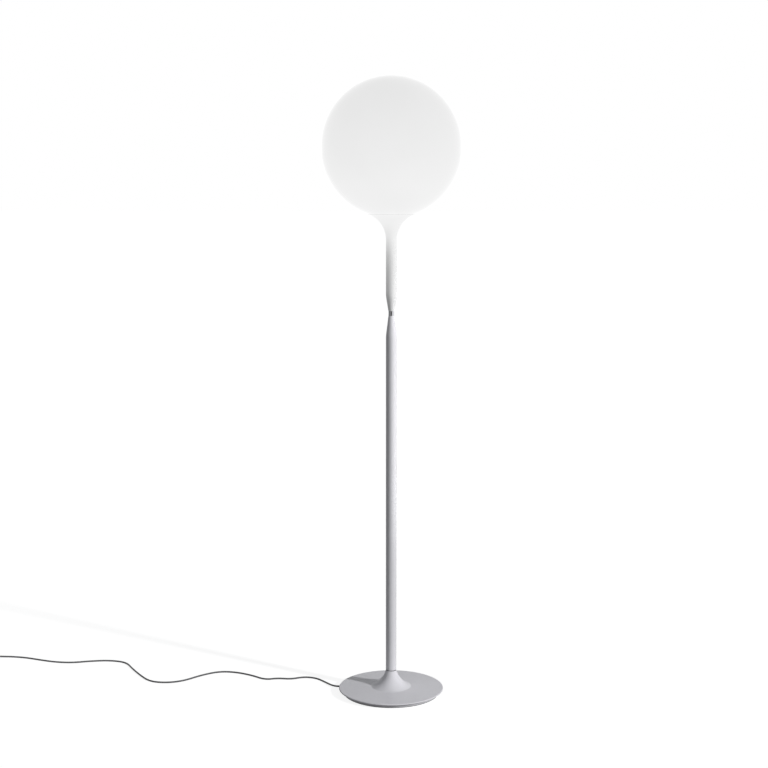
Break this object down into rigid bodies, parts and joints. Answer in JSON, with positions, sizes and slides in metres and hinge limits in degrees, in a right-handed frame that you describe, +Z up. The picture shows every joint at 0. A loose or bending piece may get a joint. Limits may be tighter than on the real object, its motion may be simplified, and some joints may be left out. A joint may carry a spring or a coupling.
{
  "type": "globe floor lamp",
  "caption": "Opal glass globe running into a flared translucent stem, pinched at a slotted neck over a slim metal stem and heavy round base, with mains lead, foot switch and plug.",
  "frame": {"origin": "on the floor, at the middle of the round base", "axes": "+Z up along the stem, +X to the right and +Y away as seen from the front; the lead leaves towards -X"},
  "size_m": [1.7043, 0.5659, 1.8886],
  "materials": {
    "base_paint": "satin",
    "stem_paint": "satin",
    "neck_paint": "satin",
    "spider_paint": "satin",
    "cast_iron": "matte",
    "zinc_steel": "satin",
    "spring_steel": "satin",
    "cover_black": "matte",
    "foot_rubber": "matte",
    "relief_rubber": "matte",
    "opal_plastic": "gloss",
    "white_plastic": "satin",
    "cord_pvc": "satin",
    "porcelain": "gloss",
    "brass": "satin",
    "nickel": "polished",
    "gasket_silicone": "matte",
    "opal_glass": "gloss",
    "bulb_glass": "gloss",
    "clear_glass": "gloss",
    "black_glass": "gloss",
    "filament": "satin",
    "switch_plastic": "satin",
    "pedal_plastic": "gloss",
    "wire_insulation": "satin",
    "plug_plastic": "satin"
  },
  "bodies": {
    "stand": {"base_casting": "base_paint", "ballast_plate": "cast_iron", "ballast_screws": "zinc_steel", "base_cover": "cover_black", "cover_screws": "zinc_steel", "foot_ring": "foot_rubber", "strain_relief": "relief_rubber", "clamp_washer": "zinc_steel", "clamp_nut": "zinc_steel", "stem_foot_plug": "zinc_steel", "lower_stem": "stem_paint", "stem_tip_plug": "zinc_steel", "neck_coupling": "neck_paint", "upper_stem": "opal_plastic", "inner_tube": "zinc_steel", "centring_rings": "white_plastic", "internal_lead": "cord_pvc", "holder_nipple": "zinc_steel", "holder_locknut": "zinc_steel", "lampholder_cap": "white_plastic", "lampholder_shell": "white_plastic", "lampholder_core": "porcelain", "terminal_screws": "brass", "thread_sleeve": "brass", "centre_contact": "brass", "shade_ring": "white_plastic", "spider_ring": "spider_paint", "spider_hub": "spider_paint", "seam_gasket": "gasket_silicone", "switch_tray": "switch_plastic", "switch_cover": "switch_plastic", "switch_screws": "zinc_steel", "switch_block": "white_plastic", "switch_strips": "brass", "pedal_spring": "spring_steel", "switch_reliefs": "relief_rubber", "switch_wires": "wire_insulation", "plug_body": "plug_plastic", "plug_pins": "nickel", "pin_sleeves": "plug_plastic", "plug_relief": "relief_rubber", "cord_main": "cord_pvc", "cord_tail": "cord_pvc", "cord_coil": "cord_pvc", "cord_end": "cord_pvc"},
    "globe": {"globe_glass": "opal_glass", "globe_collar": "white_plastic", "globe_clips": "spring_steel", "clip_screws": "zinc_steel"},
    "bulb": {"bulb_glass": "bulb_glass", "bulb_cap": "nickel", "bulb_insulator": "black_glass", "bulb_tip": "nickel", "bulb_mount": "clear_glass", "bulb_filaments": "filament"},
    "pedal": {"switch_pedal": "pedal_plastic"}
  },
  "joints": [
    {"name": "globe_lift", "type": "slide", "parent": "stand", "child": "globe", "axis": [0, 0, 1], "range_m": [0, 0.16]},
    {"name": "bulb_unscrew", "type": "hinge", "parent": "stand", "child": "bulb", "pos_m": [0, 0, 1.5], "axis": [0, 0, 1], "range_deg": [0, 1080]},
    {"name": "pedal_press", "type": "slide", "parent": "stand", "child": "pedal", "axis": [0, 0, -1], "range_m": [0, 0.0025], "stiffness_N_per_m": 900, "springref_m": -0.002, "deforming": ["pedal_spring"]}
  ]
}
